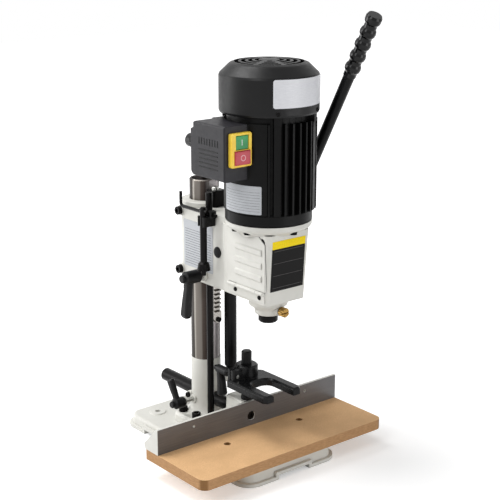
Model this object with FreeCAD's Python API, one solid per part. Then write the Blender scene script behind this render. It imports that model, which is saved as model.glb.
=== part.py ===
import FreeCAD, Part
import math
import os

# Benchtop mortiser, in millimetres. X runs along the fence, -Y is the operator's side and Z is up.
# The origin is the centre of the four bench bolt holes, on the bench.

# ---- Driving dimensions ----
BASE_HALF_WIDTH = 105.0
BASE_HALF_DEPTH = 182.0
DECK_TOP = 22.0
PAD_TOP = 32.0
PAD_BACK = -40.0
BENCH_HOLE_X = 56.5
BENCH_HOLE_Y = 139.0
BENCH_HOLE_R = 5.0

TABLE_LENGTH = 400.0
TABLE_FRONT = -191.0
TABLE_BACK = -30.5
TABLE_TOP = 50.0
TABLE_SCREW = (81.0, -101.0)
TABLE_SINK = 45.5

COLUMN_Y = 64.0
COLUMN_R = 26.0
COLUMN_TOP = 473.0
HOLDER_R = 26.6
HOLDER_TOP = 144.0
FLANGE_TOP = 38.0
FLARE_R, FLARE_H = 14.0, 28.0
HOLDER_BOLT = (38.0, 20.0)
KEEPER_Y = 17.0

RUNNING_GAP = 0.05

FENCE_FACE = -66.0
FENCE_HEIGHT = 45.0
FENCE_PLATE = 9.0
BAR_R = 12.0
BAR_Z = 68.0
BAR_BACK = 192.0
POST_Y = -53.0
POST_R = 9.0
POST_TOP = 186.0

FORK_BOTTOM = 127.0
FORK_TOP = 140.0
FORK_BOSS_TOP = 162.0
FORK_BOSS_R = 20.0
PRONG_IN = 22.0
PRONG_ROOT = -84.0
FORK_BACK = -42.0
PRONG_OUT = 41.0
PRONG_END = -153.0
FORK_LOCK = (-27.0, 146.0)

SPINDLE_Y = -111.0
HEAD_BOTTOM = 300.0
HEAD_DECK = 428.0
HEAD_HALF = 41.0
SEAT_Z = 435.0
SEAT_R = 71.5
COLLAR_BOTTOM = 270.0
COLLAR_R = 22.5
NOSE_R = 33.0
SOCKET_BOTTOM = 256.0
CHISEL_SCREW_Z = 281.0
SCREW_BOSS_REACH = 33.0
SHANK_BORE_R = 9.525

TOOTH_MODULE = 2.5
GEAR_TEETH = 44
PRESSURE_ANGLE = math.radians(20.0)
SHAFT_Y = -26.5
SHAFT_Z = 364.0
SHAFT_R = 10.0
LEVER_X = 97.0
LEVER_LEAN = math.radians(28.8)
LEVER_REACH = 461.0
LEVER_ROD_R = 9.4
GRIP_START = 348.0

GAS_X, GAS_Y = 26.0, 24.6
GAS_R = 11.0
DEPTH_ROD_X, DEPTH_ROD_Y = -29.0, 12.5
DEPTH_ROD_R = 6.0
DEPTH_ROD_TOP = 460.0
DEPTH_LOCK = (13.0, 316.0)
FENCE_LOCK = (66.0, 65.0)

MOTOR_FIN_TOP = 614.0
MOTOR_CORE_R = 68.0
MOTOR_FIN_R = 78.0
SMOOTH_R = 73.5
COWL_R = 81.4
COWL_BORE_R = 79.2
COWL_SCREW_Z = 619.0
COWL_SCREW_ANGLES = (60, 120, 240, 300)
COWL_TOP = 695.5
GRILLE_ARMS = (27, 75, 207, 255)

BOX_LEFT, BOX_SEAM = -115.0, -70.0
BOX_FRONT, BOX_BACK = -141.0, -52.0
BOX_BOTTOM, BOX_TOP = 514.0, 602.0
GLAND_X, GLAND_Z = -101.0, 566.0

DOOR_FACE = -45.5
DOOR_FRONT, DOOR_REAR = -155.4, -58.0
DOOR_BOTTOM, DOOR_TOP = 324.6, 419.0
DOOR_CORNER_Z = 404.5
DOOR_HINGE = (-46.4, 321.0)
KNUCKLE_R = 3.2
HINGE_SPLITS = (-135.0, -83.0)
HINGE_SCREWS = (-140.4, -78.0)
HINGE_SCREW_Z = 312.5

HINGE_LEAF_X = -42.2
MOTOR_BOLT_X = 58.0
MOTOR_BOLT_Y = 15.5
MOTOR_BOLT_FRONT = 62.5
MOTOR_BOLT_SEAT = 424.0

PITCH_R = TOOTH_MODULE * GEAR_TEETH / 2.0
RACK_PITCH_Y = SHAFT_Y + PITCH_R
TOOTH_PITCH = math.pi * TOOTH_MODULE
PARTS = {}


# ---- Shape helpers ----
def vec(x, y, z):
    return FreeCAD.Vector(x, y, z)


def box(x0, x1, y0, y1, z0, z1):
    return Part.makeBox(x1 - x0, y1 - y0, z1 - z0, vec(x0, y0, z0))


def cyl_z(r, z0, z1, x=0.0, y=0.0):
    return Part.makeCylinder(r, z1 - z0, vec(x, y, z0), vec(0, 0, 1))


def cyl_x(r, x0, x1, y, z):
    return Part.makeCylinder(r, x1 - x0, vec(x0, y, z), vec(1, 0, 0))


def cyl_y(r, y0, y1, x, z):
    return Part.makeCylinder(r, y1 - y0, vec(x, y0, z), vec(0, 1, 0))


def union(shapes):
    solid = shapes[0]
    for other in shapes[1:]:
        solid = solid.fuse(other)
    return solid.removeSplitter()


def minus(solid, tools):
    for tool in tools:
        solid = solid.cut(tool)
    return solid


def group(shapes):
    """Several separate solids that share one node."""
    return Part.makeCompound(shapes)


def spin_z(profile, x, y):
    """Revolves (radius, height) points about the vertical line through (x, y)."""
    points = [vec(x + r, y, z) for r, z in profile]
    face = Part.Face(Part.makePolygon(points + [points[0]]))
    return face.revolve(vec(x, y, 0), vec(0, 0, 1), 360)


def spin_x(profile, y, z):
    """Revolves (position along X, radius) points about the line along X through (y, z)."""
    points = [vec(x, y, z + r) for x, r in profile]
    face = Part.Face(Part.makePolygon(points + [points[0]]))
    return face.revolve(vec(0, y, z), vec(1, 0, 0), 360)


def spin_y(profile, x, z):
    """Revolves (position along Y, radius) points about the line along Y through (x, z)."""
    points = [vec(x, y, z + r) for y, r in profile]
    face = Part.Face(Part.makePolygon(points + [points[0]]))
    return face.revolve(vec(x, 0, z), vec(0, 1, 0), 360)


def prism(points, direction):
    face = Part.Face(Part.makePolygon(points + [points[0]]))
    return face.extrude(direction)


def rounded_wire(x0, x1, y0, y1, r, z):
    """A rectangle in a level plane with its four corners rounded to r."""
    k = r * (1.0 - math.sqrt(0.5))
    corners = [
        (vec(x1 - r, y0, z), vec(x1 - k, y0 + k, z), vec(x1, y0 + r, z)),
        (vec(x1, y1 - r, z), vec(x1 - k, y1 - k, z), vec(x1 - r, y1, z)),
        (vec(x0 + r, y1, z), vec(x0 + k, y1 - k, z), vec(x0, y1 - r, z)),
        (vec(x0, y0 + r, z), vec(x0 + k, y0 + k, z), vec(x0 + r, y0, z)),
    ]
    edges = []
    for i, corner in enumerate(corners):
        following = corners[(i + 1) % 4]
        edges.append(Part.Arc(*corner).toShape())
        edges.append(Part.LineSegment(corner[2], following[0]).toShape())
    return Part.Wire(edges)


def rounded_block(x0, x1, y0, y1, r, z0, z1):
    return Part.Face(rounded_wire(x0, x1, y0, y1, r, z0)).extrude(vec(0, 0, z1 - z0))


def stack(sections):
    """A solid with flat sides through rounded rectangles (x0, x1, y0, y1, r, z)."""
    return Part.makeLoft([rounded_wire(*s) for s in sections], True, True)


def hexagon(r, z0, z1, x, y):
    points = [vec(x + r * math.cos(math.radians(60 * i)), y + r * math.sin(math.radians(60 * i)), z0)
              for i in range(6)]
    return prism(points, vec(0, 0, z1 - z0))


def turned(shape, centre, axis, degrees):
    copy = shape.copy()
    copy.rotate(centre, axis, degrees)
    return copy


def socket_screw(head_r, head_h, shank_r, shank_l):
    """Cap screw on the origin: shank down the -Z axis, head above z = 0, hexagon socket."""
    screw = spin_z([(0, -shank_l), (shank_r - 0.4, -shank_l), (shank_r, 0.4 - shank_l), (shank_r, 0),
                    (head_r, 0), (head_r, head_h - 0.8), (head_r - 0.8, head_h), (0, head_h)], 0, 0)
    return screw.cut(hexagon(head_r * 0.55, head_h * 0.55, head_h + 1.0, 0, 0))


def placed(shape, point, axis):
    """Turns a shape built on +Z so that it points along axis, and moves it to point."""
    copy = shape.copy()
    rotation = FreeCAD.Rotation(vec(0, 0, 1), axis)
    copy.Placement = FreeCAD.Placement(point, rotation)
    return copy


# ---- Base, table and column ----
def base_casting():
    w, d, wall = BASE_HALF_WIDTH - 5.0, BASE_HALF_DEPTH - 5.0, 7.0
    deck = stack([(-w, w, -d, d, 27, 0), (-w + 1.6, w - 1.6, -d + 1.6, d - 1.6, 25.5, 17),
                  (-w + 3, w - 3, -d + 3, d - 3, 24, 20.8), (-w + 6, w - 6, -d + 6, d - 6, 21, DECK_TOP)])
    pad = stack([(-w + 1.6, w - 1.6, -d + 1.6, d - 1.6, 25.5, 16),
                 (-w + 3, w - 3, -d + 3, d - 3, 24, PAD_TOP - 2),
                 (-w + 5, w - 5, -d + 5, d - 5, 22, PAD_TOP)])
    pad = pad.common(box(-w, w, -d, PAD_BACK, 0, PAD_TOP))
    # The foot flange runs round the bottom and steps up over the four shallow arches.
    arch_h, foot_h = 8.0, 6.0
    ring = rounded_block(-w - 5, w + 5, -d - 5, d + 5, 31, 0, foot_h + arch_h)
    ring = ring.cut(rounded_block(-w + 4, w - 4, -d + 4, d - 4, 23, 0, foot_h + arch_h))
    arches = [box(-34, 34, -d - 6, -d + 30, 0, arch_h), box(-34, 34, d - 30, d + 6, 0, arch_h),
              box(-w - 6, -w + 30, -114, 114, 0, arch_h), box(w - 30, w + 6, -114, 114, 0, arch_h)]
    over = [box(-40, 40, -d - 6, -d + 30, foot_h, 20), box(-40, 40, d - 30, d + 6, foot_h, 20),
            box(-w - 6, -w + 30, -120, 120, foot_h, 20), box(w - 30, w + 6, -120, 120, foot_h, 20)]
    low = ring.common(box(-200, 200, -200, 200, 0, foot_h))
    high = ring.common(union(over))
    solid = union([deck, pad, low, high])
    hollow = rounded_block(-w + wall, w - wall, -d + wall, d - wall, 20, -1, DECK_TOP - 8)
    under_pad = rounded_block(-w + 10, w - 10, -d + 10, PAD_BACK - 6, 14, -1, PAD_TOP - 8)
    solid = minus(solid, [hollow, under_pad] + arches)
    ribs = [box(x - 3, x + 3, -d + 3, d - 3, 6, DECK_TOP - 6) for x in (-30, 30)]
    bosses = []
    for x in (-BENCH_HOLE_X, BENCH_HOLE_X):
        bosses.append(cyl_z(13, 0, DECK_TOP - 4, x, BENCH_HOLE_Y))
        bosses.append(cyl_z(13, 0, PAD_TOP - 4, x, -BENCH_HOLE_Y))
        bosses.append(Part.makeCone(16, 14.5, 2.5, vec(x, BENCH_HOLE_Y, DECK_TOP - 0.5)))
    for sx in (-1, 1):
        bosses.append(cyl_z(8, 6, PAD_TOP - 4, sx * TABLE_SCREW[0], TABLE_SCREW[1]))
        for sy in (-1, 1):
            bosses.append(cyl_z(10, 6, DECK_TOP - 4, sx * HOLDER_BOLT[0], COLUMN_Y + sy * HOLDER_BOLT[1]))
    solid = union([solid] + ribs + bosses)
    holes = []
    for x in (-BENCH_HOLE_X, BENCH_HOLE_X):
        for y in (-BENCH_HOLE_Y, BENCH_HOLE_Y):
            holes.append(cyl_z(BENCH_HOLE_R, -1, PAD_TOP + 1, x, y))
    for sx in (-1, 1):
        holes.append(cyl_z(2.5, 10, PAD_TOP + 1, sx * TABLE_SCREW[0], TABLE_SCREW[1]))
        for sy in (-1, 1):
            holes.append(cyl_z(4.0, 8, DECK_TOP + 1, sx * HOLDER_BOLT[0], COLUMN_Y + sy * HOLDER_BOLT[1]))
    return minus(solid, holes)


def table_board():
    front_r, back_r = 15.0, 2.0
    half = TABLE_LENGTH / 2.0
    board = rounded_block(-half, half, TABLE_FRONT, TABLE_BACK, front_r, PAD_TOP, TABLE_TOP)
    back = rounded_block(-half, half, TABLE_BACK - 60, TABLE_BACK, back_r, PAD_TOP, TABLE_TOP)
    board = union([board, back])
    for sx in (-1, 1):
        x, y = sx * TABLE_SCREW[0], TABLE_SCREW[1]
        sink = Part.makeCone(2.6, 6.0, 4.0, vec(x, y, TABLE_SINK - 4.0))
        board = minus(board, [cyl_z(2.6, PAD_TOP - 1, TABLE_TOP, x, y), sink,
                              cyl_z(6.0, TABLE_SINK - 0.01, TABLE_TOP + 1, x, y)])
    return board


def table_screws():
    screws = []
    for sx in (-1, 1):
        x, y = sx * TABLE_SCREW[0], TABLE_SCREW[1]
        shank = cyl_z(2.45, 12, TABLE_SINK - 3.5, x, y)
        head = Part.makeCone(2.45, 5.5, 3.5, vec(x, y, TABLE_SINK - 3.9))
        slots = [box(x - 3.2, x + 3.2, y - 0.6, y + 0.6, TABLE_SINK - 1.9, TABLE_SINK),
                 box(x - 0.6, x + 0.6, y - 3.2, y + 3.2, TABLE_SINK - 1.9, TABLE_SINK)]
        screws.append(minus(union([shank, head]), slots))
    return group(screws)


def column_holder():
    y = COLUMN_Y
    flange = stack([(-54, 54, y - 38, y + 38, 18, DECK_TOP), (-52.5, 52.5, y - 36.5, y + 36.5, 17, 33),
                    (-49, 49, y - 33, y + 33, 14, FLANGE_TOP)])
    flare = []
    for i in range(8):
        a = math.radians(90.0 * i / 7)
        flare.append((HOLDER_R + FLARE_R * (1 - math.cos(a)), FLANGE_TOP + FLARE_H * (1 - math.sin(a))))
    tower = spin_z([(0, HOLDER_TOP), (HOLDER_R, HOLDER_TOP)] + flare
                   + [(HOLDER_R + FLARE_R, DECK_TOP), (0, DECK_TOP)], 0, y)
    spigot = spin_z([(0, HOLDER_TOP - 10), (21.9, HOLDER_TOP - 10), (21.9, HOLDER_TOP + 38),
                     (20.4, HOLDER_TOP + 40), (0, HOLDER_TOP + 40)], 0, y)
    arm_dir = vec(GAS_X, GAS_Y - y, 0)
    reach = arm_dir.Length
    arm = box(0, reach, -8, 8, 100, 114)
    arm.rotate(vec(0, 0, 0), vec(0, 0, 1), math.degrees(math.atan2(arm_dir.y, arm_dir.x)))
    arm.translate(vec(0, y, 0))
    lock_y, lock_z = FENCE_LOCK
    lock_boss = cyl_x(8.0, -HOLDER_R - 3.0, 0, lock_y, lock_z)
    keeper_boss = cyl_x(7.0, -HOLDER_R - 0.4, 0, y + KEEPER_Y, BAR_Z)
    solid = union([flange, tower, spigot, arm, cyl_z(8, 100, 114, GAS_X, GAS_Y), lock_boss, keeper_boss])
    cuts = [cyl_z(14, HOLDER_TOP - 50, HOLDER_TOP + 41, 0, y),
            cyl_y(BAR_R + RUNNING_GAP, y - 60, y + 60, 0, BAR_Z),
            cyl_z(4.1, 99, 115, GAS_X, GAS_Y),
            cyl_x(4.0 + RUNNING_GAP, -40, 0, lock_y, lock_z),
            cyl_x(3.0, -40, -11, y + KEEPER_Y, BAR_Z)]
    for sx in (-1, 1):
        for sy in (-1, 1):
            bx, by = sx * HOLDER_BOLT[0], y + sy * HOLDER_BOLT[1]
            cuts.append(cyl_z(4.2, DECK_TOP - 1, FLANGE_TOP + 1, bx, by))
            cuts.append(cyl_z(9.2, FLANGE_TOP, FLANGE_TOP + 30, bx, by))
    return minus(solid, cuts)


def holder_bolts():
    bolt = socket_screw(8.0, 9.5, 3.9, 28.0)
    bolts = []
    for sx in (-1, 1):
        for sy in (-1, 1):
            point = vec(sx * HOLDER_BOLT[0], COLUMN_Y + sy * HOLDER_BOLT[1], FLANGE_TOP)
            bolts.append(placed(bolt, point, vec(0, 0, 1)))
    keeper = socket_screw(5.0, 5.0, 2.9, 14.0)
    bolts.append(placed(keeper, vec(-HOLDER_R - 0.4, COLUMN_Y + KEEPER_Y, BAR_Z), vec(-1, 0, 0)))
    return group(bolts)


FLAT_Y = COLUMN_Y - 24.8
RACK_LOW, RACK_HIGH = 215.0, 428.0
STOP_LOW, STOP_HIGH = 428.6, 457.0
STOP_HALF = 13.0


def column_tube():
    tube = spin_z([(22.0, HOLDER_TOP), (COLUMN_R, HOLDER_TOP), (COLUMN_R, COLUMN_TOP - 1.5),
                   (COLUMN_R - 1.5, COLUMN_TOP), (22.0, COLUMN_TOP)], 0, COLUMN_Y)
    seat = box(-12, 12, FLAT_Y - 5, FLAT_Y, RACK_LOW, COLUMN_TOP + 1)
    holes = [cyl_y(2.1, FLAT_Y - 1, FLAT_Y + 8, 0, z) for z in (RACK_LOW + 6.5, RACK_HIGH - 5.5)]
    return minus(tube, [seat] + holes)


def feed_rack():
    """Straight rack: flanks at the pressure angle, a tooth gap level with the gear's axis."""
    addendum, dedendum, slack = TOOTH_MODULE, 1.25 * TOOTH_MODULE, 0.12
    tip_y, root_y = RACK_PITCH_Y - addendum, RACK_PITCH_Y + dedendum
    bar = box(-7, 7, tip_y, FLAT_Y, RACK_LOW, RACK_HIGH)
    bar = union([bar.common(box(-7, 7, tip_y, FLAT_Y, RACK_LOW + 7, RACK_HIGH)),
                 cyl_y(7, tip_y, FLAT_Y, 0, RACK_LOW + 7)])
    slope = math.tan(PRESSURE_ANGLE)
    gaps = []
    first = math.ceil((RACK_LOW + 17.0 - SHAFT_Z) / TOOTH_PITCH)
    last = math.floor((RACK_HIGH - 14.0 - SHAFT_Z) / TOOTH_PITCH)
    for i in range(first, last + 1):
        mid = SHAFT_Z + i * TOOTH_PITCH
        half = TOOTH_PITCH / 4.0 + slack
        wide, narrow = half + addendum * slope, half - dedendum * slope
        gaps.append(prism([vec(-8, tip_y - 1, mid - wide - slope), vec(-8, tip_y - 1, mid + wide + slope),
                           vec(-8, root_y, mid + narrow), vec(-8, root_y, mid - narrow)], vec(16, 0, 0)))
    screw_holes = []
    for z in (RACK_LOW + 6.5, RACK_HIGH - 5.5):
        screw_holes.append(cyl_y(2.3, tip_y - 1, FLAT_Y + 1, 0, z))
    return minus(bar, [Part.makeCompound(gaps)] + screw_holes)


def rack_screws():
    screw = socket_screw(4.6, 4.0, 2.0, 19.0)
    tip_y = RACK_PITCH_Y - TOOTH_MODULE
    top = placed(screw, vec(0, tip_y, RACK_HIGH - 5.5), vec(0, -1, 0))
    low = placed(screw, vec(0, tip_y, RACK_LOW + 6.5), vec(0, -1, 0))
    return group([low, top])


def rack_stop():
    """Block over the rack's upper end that keeps the head from leaving the rack."""
    block = box(-STOP_HALF, STOP_HALF, 20, FLAT_Y, STOP_LOW, STOP_HIGH)
    uprights = [e for e in block.Edges
                if abs(e.Vertexes[0].Z - e.Vertexes[1].Z) > 20 and e.CenterOfMass.y < 21]
    block = block.makeFillet(4.0, uprights)
    block = block.cut(cyl_z(COLUMN_R + RUNNING_GAP, STOP_LOW - 1, STOP_HIGH + 1, 0, COLUMN_Y))
    return block.cut(cyl_z(2.6, STOP_LOW - 1, STOP_HIGH + 1, -3, 29))


def stop_screw():
    return placed(socket_screw(6.5, 6.0, 2.58, 27.0), vec(-3, 29, STOP_HIGH), vec(0, 0, 1))


GAS_TOP = 306.0
GAS_BOTTOM = 118.0


def gas_cylinder():
    shell = spin_z([(0, GAS_BOTTOM - 24), (4.0, GAS_BOTTOM - 24), (4.0, GAS_BOTTOM - 4),
                    (8.0, GAS_BOTTOM - 4), (8.0, GAS_BOTTOM + 8), (GAS_R, GAS_BOTTOM + 13),
                    (GAS_R, GAS_TOP - 2), (GAS_R - 2, GAS_TOP), (0, GAS_TOP)], GAS_X, GAS_Y)
    chamber = cyl_z(9.2, GAS_BOTTOM + 16, GAS_TOP - 12, GAS_X, GAS_Y)
    gland = cyl_z(4.0 + RUNNING_GAP, GAS_TOP - 13, GAS_TOP + 1, GAS_X, GAS_Y)
    return minus(shell, [chamber, gland])


def gas_rod():
    return spin_z([(0, 282), (9.0, 282), (9.0, 290), (4.0, 290), (4.0, 434), (3.4, 436), (0, 436)],
                  GAS_X, GAS_Y)


def gas_nut_lower():
    nut = hexagon(7.5, 93.0, 99.9, GAS_X, GAS_Y)
    return nut.cut(cyl_z(4.02, 92, 101, GAS_X, GAS_Y))


def gas_nut_upper():
    nut = hexagon(7.2, HEAD_DECK, HEAD_DECK + 6.0, GAS_X, GAS_Y)
    return nut.cut(cyl_z(4.02, HEAD_DECK - 1, HEAD_DECK + 8, GAS_X, GAS_Y))


def depth_rod():
    return spin_z([(0, DECK_TOP), (DEPTH_ROD_R - 0.8, DECK_TOP), (DEPTH_ROD_R, DECK_TOP + 0.8),
                   (DEPTH_ROD_R, DEPTH_ROD_TOP - 1), (DEPTH_ROD_R - 1, DEPTH_ROD_TOP),
                   (0, DEPTH_ROD_TOP)], DEPTH_ROD_X, DEPTH_ROD_Y)


# ---- Fence and hold-down ----
def fence_casting():
    half = TABLE_LENGTH / 2.0
    low, top = TABLE_TOP, TABLE_TOP + FENCE_HEIGHT
    back = FENCE_FACE + FENCE_PLATE
    section = [vec(-half, FENCE_FACE, low), vec(-half, FENCE_FACE, top), vec(-half, back - 4, top),
               vec(-half, back, top - 12), vec(-half, back, low + 12), vec(-half, back + 4, low + 9),
               vec(-half, -27, low + 8), vec(-half, -29, low)]
    solid = prism(section, vec(2 * half, 0, 0))
    gusset = [vec(0, FENCE_FACE + 4, low), vec(0, FENCE_FACE + 4, top), vec(0, back - 4, top),
              vec(0, -26, low + 9.5), vec(0, -29, low)]
    for x, w in ((-half, 8.0), (half - 8.0, 8.0), (-70.0, 6.0), (64.0, 6.0)):
        rib = prism([p + vec(x, 0, 0) for p in gusset], vec(w, 0, 0))
        solid = solid.fuse(rib)
    boss = stack([(-17, 17, back - 3, -12, 5, low), (-16, 16, back - 3, -13, 5, top - 2),
                  (-14, 14, back - 3, -15, 4, top + 1)])
    solid = union([solid, boss])
    cuts = [cyl_y(BAR_R + 0.01, back + 0.5, 0, 0, BAR_Z),
            cyl_y(8.2, FENCE_FACE - 1, FENCE_FACE + 6, 0, BAR_Z),
            cyl_y(4.2, FENCE_FACE - 1, back + 2, 0, BAR_Z),
            cyl_z(6.0, top - 13, top + 3, 0, POST_Y)]
    for x in (-125.0, 125.0):
        cuts.append(cyl_y(2.5, FENCE_FACE - 1, back + 1, x, TABLE_TOP + 32))
    return minus(solid, cuts)


def fence_bar():
    front = FENCE_FACE + FENCE_PLATE + 0.5
    bar = spin_y([(front, 0), (front, BAR_R), (BAR_BACK - 2, BAR_R), (BAR_BACK, BAR_R - 2), (BAR_BACK, 0)],
                 0, BAR_Z)
    return bar.cut(cyl_y(4.0, front - 1, front + 22, 0, BAR_Z))


def fence_bar_screw():
    screw = socket_screw(7.5, 5.0, 3.98, 22.0)
    return placed(screw, vec(0, FENCE_FACE + 6.0, BAR_Z), vec(0, -1, 0))


POST_FOOT = TABLE_TOP + FENCE_HEIGHT + 1.0


def hold_down_post():
    stud = cyl_z(5.98, POST_FOOT - 13, POST_FOOT, 0, POST_Y)
    post = spin_z([(0, POST_FOOT), (9.0, POST_FOOT), (10.0, POST_FOOT + 1.5), (10.0, POST_FOOT + 5),
                   (POST_R, POST_FOOT + 7), (POST_R, POST_TOP - 2), (POST_R - 2, POST_TOP),
                   (0, POST_TOP)], 0, POST_Y)
    return union([stud, post])


def hold_down_fork():
    outline = []
    for side in (1, -1):
        half = [(PRONG_OUT - 8, FORK_BACK), (PRONG_OUT, FORK_BACK - 8), (PRONG_OUT, PRONG_END + 6),
                (PRONG_OUT - 5, PRONG_END), (PRONG_IN, PRONG_END)]
        half = half if side > 0 else half[::-1]
        outline += [vec(side * px, py, FORK_BOTTOM) for px, py in half]
    blank = prism(outline, vec(0, 0, FORK_TOP - FORK_BOTTOM))
    throat = rounded_block(-PRONG_IN, PRONG_IN, PRONG_END - 40, PRONG_ROOT, 16, FORK_BOTTOM - 1, FORK_TOP + 1)
    blank = blank.cut(throat)
    rims = [e for e in blank.Edges if all(abs(v.Z - FORK_TOP) < 0.01 for v in e.Vertexes)]
    blank = blank.makeChamfer(3.0, rims)
    boss = spin_z([(0, FORK_BOTTOM), (FORK_BOSS_R, FORK_BOTTOM), (FORK_BOSS_R, FORK_BOSS_TOP - 2.5),
                   (FORK_BOSS_R - 2.5, FORK_BOSS_TOP), (0, FORK_BOSS_TOP)], 0, POST_Y)
    lock_x, lock_z = FORK_LOCK
    ears = rounded_block(lock_x - 9, 0, POST_Y - 10, POST_Y + 10, 4, FORK_TOP - 4, FORK_BOSS_TOP - 4)
    solid = union([blank, boss, ears])
    cuts = [cyl_z(POST_R + RUNNING_GAP, FORK_BOTTOM - 1, FORK_BOSS_TOP + 1, 0, POST_Y),
            box(lock_x - 10, -6, POST_Y - 1, POST_Y + 1, FORK_TOP, FORK_BOSS_TOP + 1),
            cyl_y(3.5 + RUNNING_GAP, POST_Y - 12, POST_Y + 12, lock_x, lock_z)]
    return minus(solid, cuts)


# ---- Ratchet levers ----
def ratchet_handle(hub_r, hub_l, reach, drift, half_wide, half_thick):
    """Clamping lever on the +Z axis: hub from z = 0 to hub_l, arm along +X, button on the hub's end.

    drift is how far the arm's tip stands out past the hub along Z."""
    hub = spin_z([(0, 0), (hub_r * 0.72, 0), (hub_r, 4), (hub_r, hub_l - 3), (hub_r - 3, hub_l),
                  (0, hub_l)], 0, 0)
    root_z = hub_l - half_thick - 3.0
    stations = ((0.0, 0.0, 0.92, 1.0), (0.3, 0.16, 0.82, 0.88), (0.62, 0.72, 0.92, 0.98),
                (0.94, 1.0, 1.06, 1.04), (1.0, 1.02, 0.82, 0.76))
    sections = []
    for along, out, wide, thick in stations:
        w, t, mid = half_wide * wide, half_thick * thick, root_z + drift * out
        sections.append((-w, w, mid - t, mid + t, 0.75 * t, reach * along))
    arm = turned(stack(sections), vec(0, 0, 0), vec(1, 1, 1), 120)
    button = spin_z([(0, hub_l - 1), (hub_r * 0.62, hub_l - 1), (hub_r * 0.62, hub_l + 4.5),
                     (hub_r * 0.5, hub_l + 6), (0, hub_l + 6)], 0, 0)
    return union([hub, arm, button])


def lever_pair(origin, axis, arm_direction, handle, stud_r, stud_l, inner_l):
    """Places a ratchet handle and its threaded stud; origin is where the hub meets the stud."""
    x_dir, z_dir = arm_direction.normalize(), axis.normalize()
    y_dir = z_dir.cross(x_dir)
    matrix = FreeCAD.Matrix(x_dir.x, y_dir.x, z_dir.x, origin.x, x_dir.y, y_dir.y, z_dir.y, origin.y,
                            x_dir.z, y_dir.z, z_dir.z, origin.z, 0, 0, 0, 1)
    body = handle.cut(cyl_z(stud_r, -1, inner_l, 0, 0))
    stud = cyl_z(stud_r - 0.02, -stud_l, inner_l, 0, 0)
    body.Placement = FreeCAD.Placement(matrix)
    stud.Placement = FreeCAD.Placement(matrix)
    return body, stud


def build_levers():
    big = ratchet_handle(11.5, 34.0, 72.0, 3.0, 9.5, 7.0)
    y, z = DEPTH_LOCK
    handle, stud = lever_pair(vec(-50, y, z), vec(-1, 0, 0), vec(0, 0.07, -1), big, 4.0, 14.8, 20.0)
    PARTS["depth_lock_handle"], PARTS["depth_lock_stud"] = handle, stud
    small = ratchet_handle(10.0, 24.0, 45.0, 2.0, 7.0, 5.6)
    y, z = FENCE_LOCK
    handle, stud = lever_pair(vec(-48, y, z), vec(-1, 0, 0), vec(0, 13, 30), small, 4.0, 35.6, 14.0)
    PARTS["fence_lock_handle"], PARTS["fence_lock_stud"] = handle, stud
    medium = ratchet_handle(7.5, 33.0, 48.0, -2.0, 8.4, 6.6)
    x, z = FORK_LOCK
    handle, stud = lever_pair(vec(x, -38, z), vec(0, 1, 0), vec(0.03, 0, -1), medium, 3.5, 24.0, 13.0)
    PARTS["fork_lock_handle"], PARTS["fork_lock_stud"] = handle, stud


# ---- Head casting and what it carries ----
def motor_bolt_places():
    sides = [(sx * MOTOR_BOLT_X, SPINDLE_Y + sy * MOTOR_BOLT_Y) for sx in (-1, 1) for sy in (-1, 1)]
    return sides + [(0.0, SPINDLE_Y - MOTOR_BOLT_FRONT)]


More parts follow.
